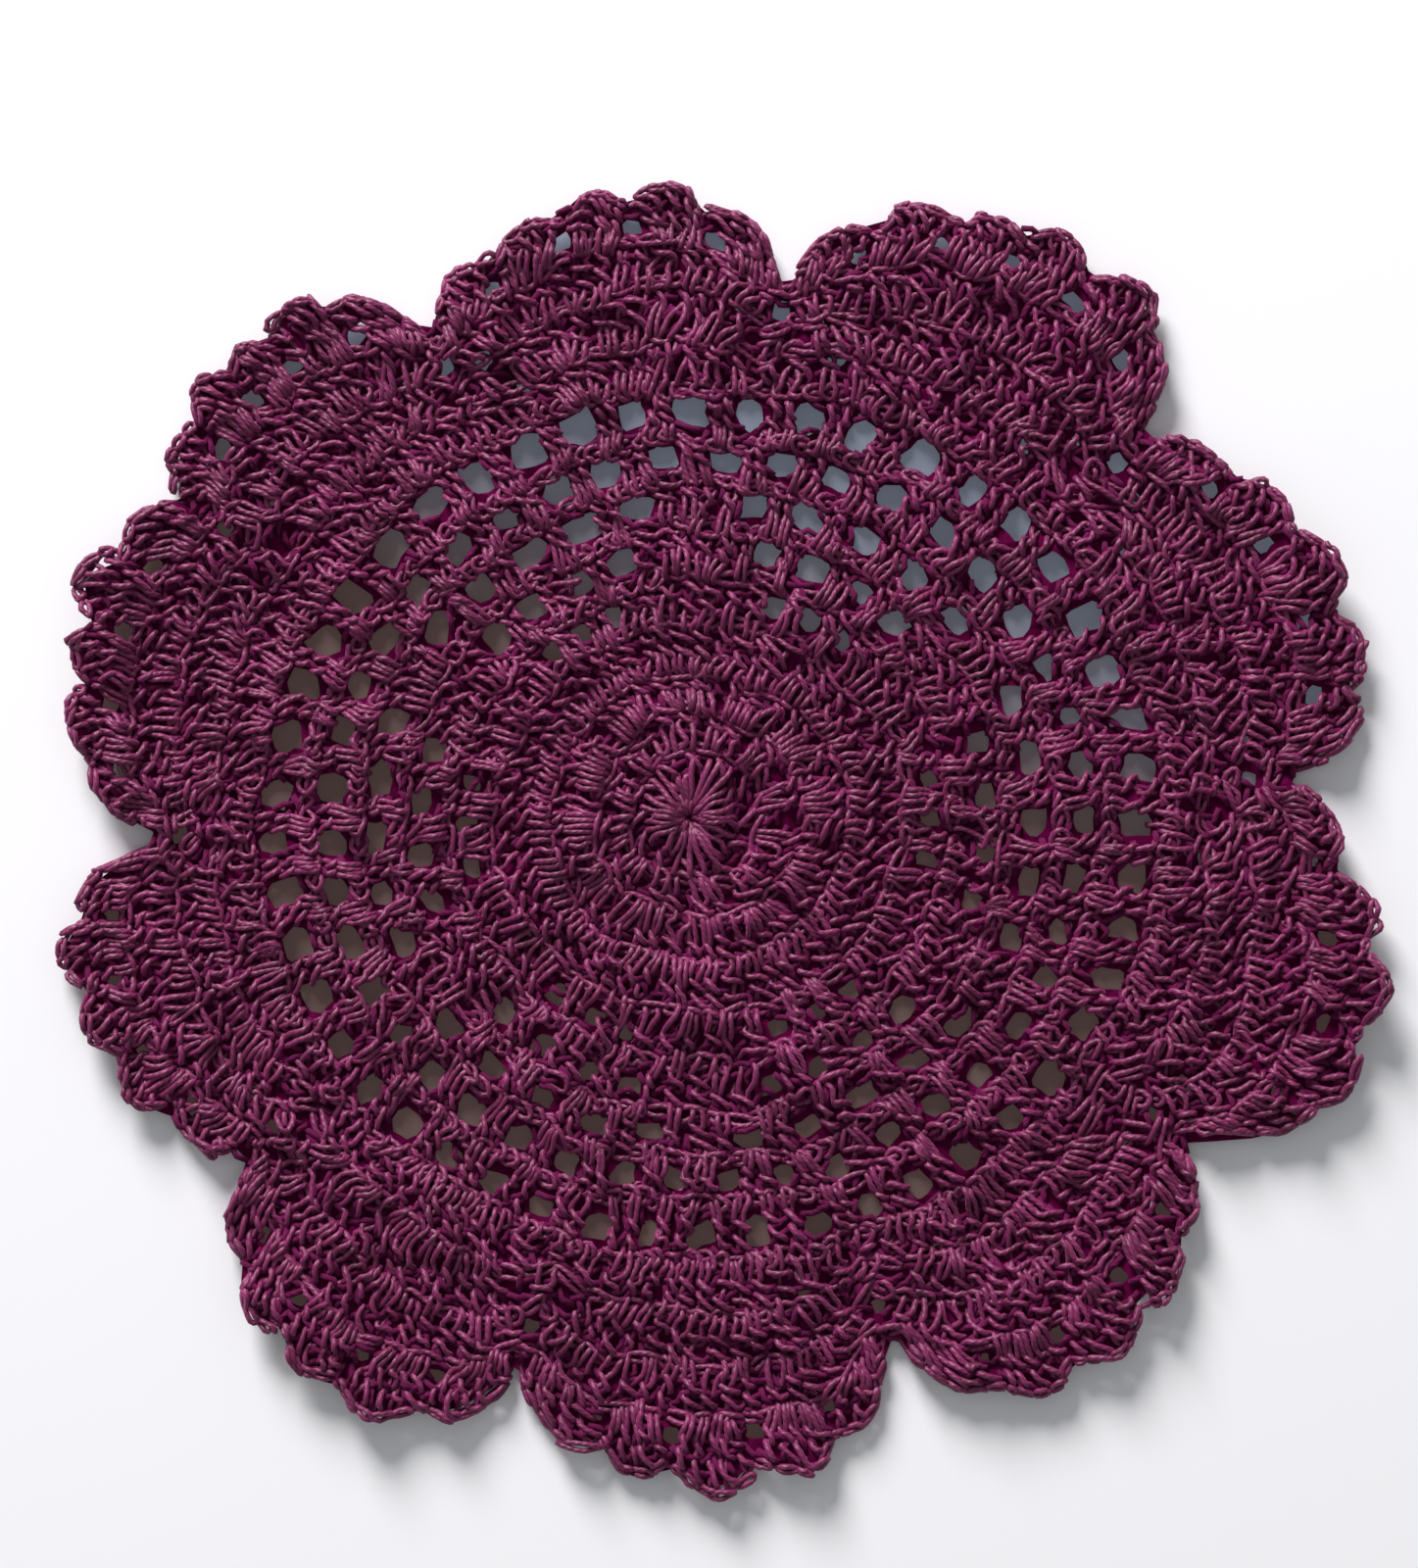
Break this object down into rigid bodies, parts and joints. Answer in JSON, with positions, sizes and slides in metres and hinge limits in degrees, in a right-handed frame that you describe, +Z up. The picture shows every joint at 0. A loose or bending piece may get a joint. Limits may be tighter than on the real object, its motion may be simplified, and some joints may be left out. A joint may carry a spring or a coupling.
{
  "type": "crocheted lace doily",
  "caption": "Round crocheted cotton doily: close star-shaped middle, open mesh rounds and an edge of shell-trimmed fans, lying flat.",
  "frame": {"origin": "middle of the first crochet round, on the underside, at the level of the surface that the doily lies on", "axes": "+Z up, out of the face that shows; +Y towards the top of the picture and +X to its right"},
  "size_m": [0.2006, 0.1995, 0.0054],
  "materials": {
    "cotton_thread": "burgundy purple mercerised cotton, softly glossy"
  },
  "bodies": {
    "root": {"doily": "cotton_thread"}
  },
  "joints": []
}
